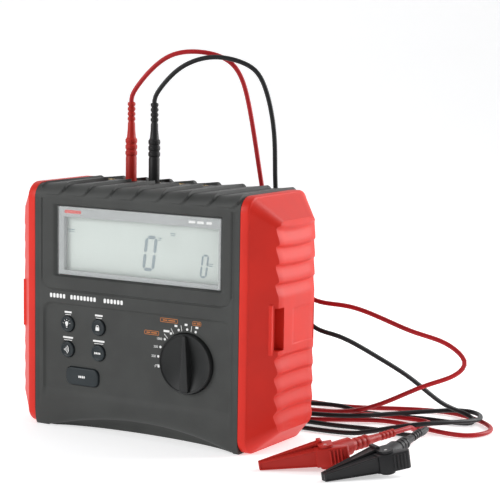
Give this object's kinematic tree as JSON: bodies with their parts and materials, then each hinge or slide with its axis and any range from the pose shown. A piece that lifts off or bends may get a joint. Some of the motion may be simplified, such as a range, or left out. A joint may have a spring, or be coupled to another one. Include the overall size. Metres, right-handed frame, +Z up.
{
  "type": "insulation resistance tester",
  "caption": "Handheld insulation resistance tester: display, rotary function switch, push buttons, red ribbed side covers, top sockets and two test leads with crocodile clips.",
  "frame": {"origin": "on the floor under the middle of the instrument's case", "axes": "+X to the right as the user faces the panel, +Y to the back, +Z up"},
  "size_m": [0.2963, 0.2117, 0.2548],
  "materials": {
    "case_plastic": "fine moulded texture, dark grey",
    "cover_red": "moulded red, satin",
    "panel_black": "near black, fine texture",
    "button_rubber": "satin moulded rubber",
    "bezel_grey": "light grey, smooth",
    "clear_window": "clear acrylic",
    "lcd": "pale green-grey display",
    "red_rubber": "soft red moulding",
    "black_rubber": "soft black moulding",
    "red_silicone": "limp red silicone sheath",
    "black_silicone": "limp black silicone sheath",
    "steel": "zinc plated",
    "brass": "nickel-free turned brass",
    "board": "green solder mask",
    "cell": "sleeved cell"
  },
  "bodies": {
    "root": {"front_case": "case_plastic", "back_cover": "case_plastic", "battery_door": "case_plastic", "battery_tray": "case_plastic", "left_side_cover": "cover_red", "right_side_cover": "cover_red", "terminal_plate": "panel_black", "switch_base": "panel_black", "buzzer": "panel_black", "relay": "panel_black", "keypad_mat": "button_rubber", "display_bezel": "bezel_grey", "lcd_backlight": "bezel_grey", "display_window": "clear_window", "lcd_glass": "lcd", "red_plug": "red_rubber", "red_far_plug": "red_rubber", "red_clip_body": "red_rubber", "black_plug": "black_rubber", "black_far_plug": "black_rubber", "black_clip_body": "black_rubber", "red_lead": "red_silicone", "black_lead": "black_silicone", "case_screw_1": "steel", "case_screw_2": "steel", "case_screw_3": "steel", "case_screw_4": "steel", "battery_door_screw": "steel", "red_clip_pin": "steel", "black_clip_pin": "steel", "red_clip_spring": "steel", "black_clip_spring": "steel", "fuse": "steel", "socket_1": "brass", "socket_2": "brass", "socket_3": "brass", "socket_4": "brass", "socket_5": "brass", "red_plug_pin": "brass", "black_plug_pin": "brass", "main_board": "board", "power_board": "board", "cell_1": "cell", "cell_2": "cell", "cell_3": "cell", "cell_4": "cell", "cell_5": "cell", "cell_6": "cell", "transformer": "cell"},
    "knob": {"knob": "panel_black", "detent_rotor": "steel"},
    "button_light": {"button_light": "button_rubber"},
    "button_hold": {"button_hold": "button_rubber"},
    "button_sound": {"button_sound": "button_rubber"},
    "button_zero": {"button_zero": "button_rubber"},
    "button_test": {"button_test": "button_rubber"},
    "red_clip_jaw": {"red_clip_jaw": "red_rubber"},
    "black_clip_jaw": {"black_clip_jaw": "black_rubber"}
  },
  "joints": [
    {"name": "function_switch", "type": "hinge", "parent": "root", "child": "knob", "pos_m": [0.0412, -0.0365, 0.0548], "axis": [0, 1, 0], "range_deg": [-101, 17]},
    {"name": "press_light", "type": "slide", "parent": "root", "child": "button_light", "axis": [0, 1, 0], "range_m": [0, 0.0012], "stiffness_N_per_m": 400, "springref_m": -0.0006},
    {"name": "press_hold", "type": "slide", "parent": "root", "child": "button_hold", "axis": [0, 1, 0], "range_m": [0, 0.0012], "stiffness_N_per_m": 400, "springref_m": -0.0006},
    {"name": "press_sound", "type": "slide", "parent": "root", "child": "button_sound", "axis": [0, 1, 0], "range_m": [0, 0.0012], "stiffness_N_per_m": 400, "springref_m": -0.0006},
    {"name": "press_zero", "type": "slide", "parent": "root", "child": "button_zero", "axis": [0, 1, 0], "range_m": [0, 0.0012], "stiffness_N_per_m": 400, "springref_m": -0.0006},
    {"name": "press_test", "type": "slide", "parent": "root", "child": "button_test", "axis": [0, 1, 0], "range_m": [0, 0.0012], "stiffness_N_per_m": 400, "springref_m": -0.0006},
    {"name": "open_red_clip", "type": "hinge", "parent": "root", "child": "red_clip_jaw", "pos_m": [0.14598, -0.0384, 0.00958], "axis": [-0.1296, -0.0977, 0.9867], "range_deg": [0, 20], "stiffness_Nm_per_rad": 0.6, "springref_deg": -11.46},
    {"name": "open_black_clip", "type": "hinge", "parent": "root", "child": "black_clip_jaw", "pos_m": [0.18262, -0.02953, 0.00958], "axis": [-0.0884, -0.1361, 0.9867], "range_deg": [0, 20], "stiffness_Nm_per_rad": 0.6, "springref_deg": -11.46}
  ]
}
